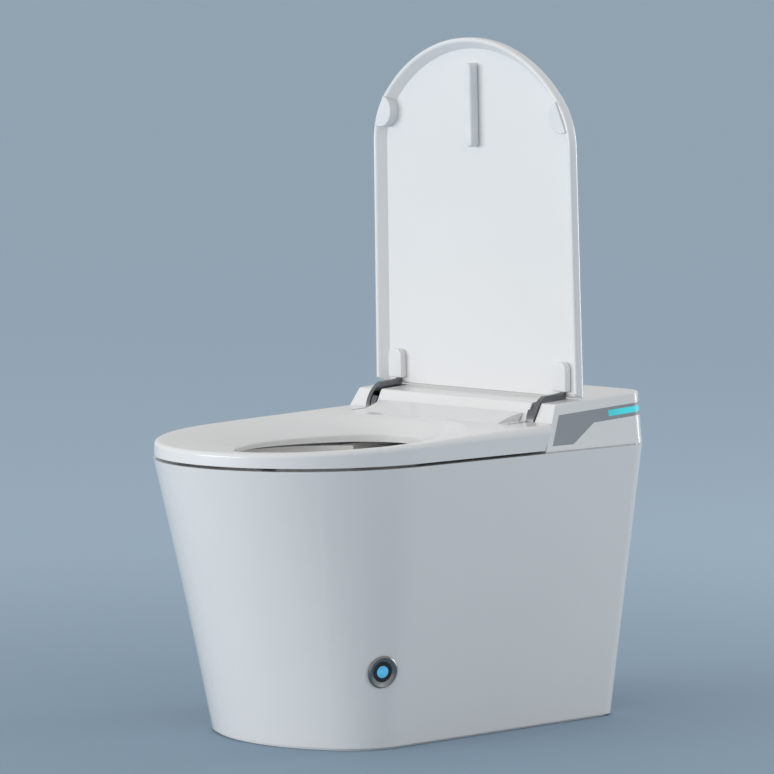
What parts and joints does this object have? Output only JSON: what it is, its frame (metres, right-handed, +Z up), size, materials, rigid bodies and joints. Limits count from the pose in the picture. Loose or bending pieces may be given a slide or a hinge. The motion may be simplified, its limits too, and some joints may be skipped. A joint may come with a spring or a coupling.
{
  "type": "bidet toilet",
  "caption": "Skirted bidet toilet with a dished seat and a lid on powered hinges, a sliding wash nozzle behind a shutter, a dryer flap and a foot sensor.",
  "frame": {"origin": "on the floor, under the middle of the plan", "axes": "+Z up, -Y toward the front of the bowl, +X to the right of the seat seen from the rear unit's front"},
  "size_m": [0.4, 0.65, 0.9123],
  "materials": {
    "glazed_white": "glossy",
    "white_plastic": "glossy",
    "dark_panel": "satin",
    "light_cyan": "lit",
    "chrome_arm": "polished",
    "dark_chrome": "polished",
    "black_window": "glossy",
    "light_blue": "lit",
    "soft_white": "matte",
    "black_rubber": "matte",
    "steel": "satin",
    "grey_plastic": "matte",
    "black_plastic": "matte",
    "heater_film": "satin",
    "brass": "satin",
    "board_green": "satin",
    "grey_hose": "matte"
  },
  "bodies": {
    "body": {"ceramic_bowl": "glazed_white", "drain_connector": "grey_plastic", "drain_seal": "black_rubber", "sensor_bezel": "dark_chrome", "sensor_window": "black_window", "sensor_light": "light_blue", "sensor_case": "black_plastic", "sensor_gasket": "black_rubber", "unit_cover": "white_plastic", "side_panel_right": "dark_panel", "side_panel_left": "dark_panel", "light_bar_right": "light_cyan", "light_bar_left": "light_cyan", "unit_base": "grey_plastic", "unit_bolts": "steel", "unit_nuts": "steel", "hinge_bracket_right": "steel", "hinge_bracket_left": "steel", "hinge_pin_right": "steel", "hinge_pin_left": "steel", "lid_drive": "black_plastic", "seat_drive": "black_plastic", "nozzle_cradle": "white_plastic", "nozzle_motor": "steel", "nozzle_frame": "white_plastic", "dryer_duct": "white_plastic", "dryer_blower": "black_plastic", "water_inlet": "brass", "solenoid_valve": "grey_plastic", "water_heater": "grey_plastic", "cord_gland": "black_rubber", "control_board": "board_green", "button_switch": "black_plastic", "flush_tank": "grey_plastic", "flush_pump": "black_plastic", "jet_hose": "grey_hose"},
    "seat": {"seat_top": "white_plastic", "seat_bridge": "white_plastic", "seat_base": "white_plastic", "seat_heater": "heater_film", "seat_buffers": "black_rubber", "seat_arm_right": "chrome_arm", "seat_arm_left": "chrome_arm", "seat_screws": "steel"},
    "lid": {"lid_shell": "white_plastic", "lid_side_buffers": "soft_white", "lid_front_buffer": "soft_white", "lid_arm_right": "chrome_arm", "lid_arm_left": "chrome_arm", "lid_lugs": "white_plastic", "lid_screws": "steel"},
    "nozzle": {"nozzle_wand": "steel", "nozzle_tip": "white_plastic"},
    "pinion": {"nozzle_pinion": "black_plastic"},
    "shutter": {"nozzle_shutter": "white_plastic"},
    "flap": {"dryer_flap": "white_plastic"},
    "button": {"power_button": "grey_plastic"}
  },
  "joints": [
    {"name": "lid_hinge", "type": "hinge", "parent": "body", "child": "lid", "pos_m": [0, 0.182, 0.403], "axis": [-1, 0, 0], "range_deg": [-90.3, 0]},
    {"name": "seat_hinge", "type": "hinge", "parent": "body", "child": "seat", "pos_m": [0, 0.182, 0.403], "axis": [-1, 0, 0], "range_deg": [0, 89]},
    {"name": "nozzle_slide", "type": "slide", "parent": "body", "child": "nozzle", "axis": [0, -0.9659, -0.2588], "range_m": [0, 0.08]},
    {"name": "pinion_spin", "type": "hinge", "parent": "body", "child": "pinion", "pos_m": [0, 0.16225, 0.38944], "axis": [-1, 0, 0], "range_deg": [0, 580]},
    {"name": "shutter_hinge", "type": "hinge", "parent": "body", "child": "shutter", "pos_m": [0, 0.03679, 0.35691], "axis": [-1, 0, 0], "range_deg": [0, 101]},
    {"name": "flap_hinge", "type": "hinge", "parent": "body", "child": "flap", "pos_m": [0, 0.05366, 0.34497], "axis": [-1, 0, 0], "range_deg": [0, 60], "stiffness_Nm_per_rad": 0.005},
    {"name": "button_press", "type": "slide", "parent": "body", "child": "button", "axis": [1, 0, 0], "range_m": [0, 0.0025], "stiffness_N_per_m": 400}
  ],
  "couplings": [
    {"joint": "pinion_spin", "follows": "nozzle_slide", "rad_per_m": 125},
    {"joint": "shutter_hinge", "follows": "nozzle_slide", "rad_per_m": 21.817}
  ]
}
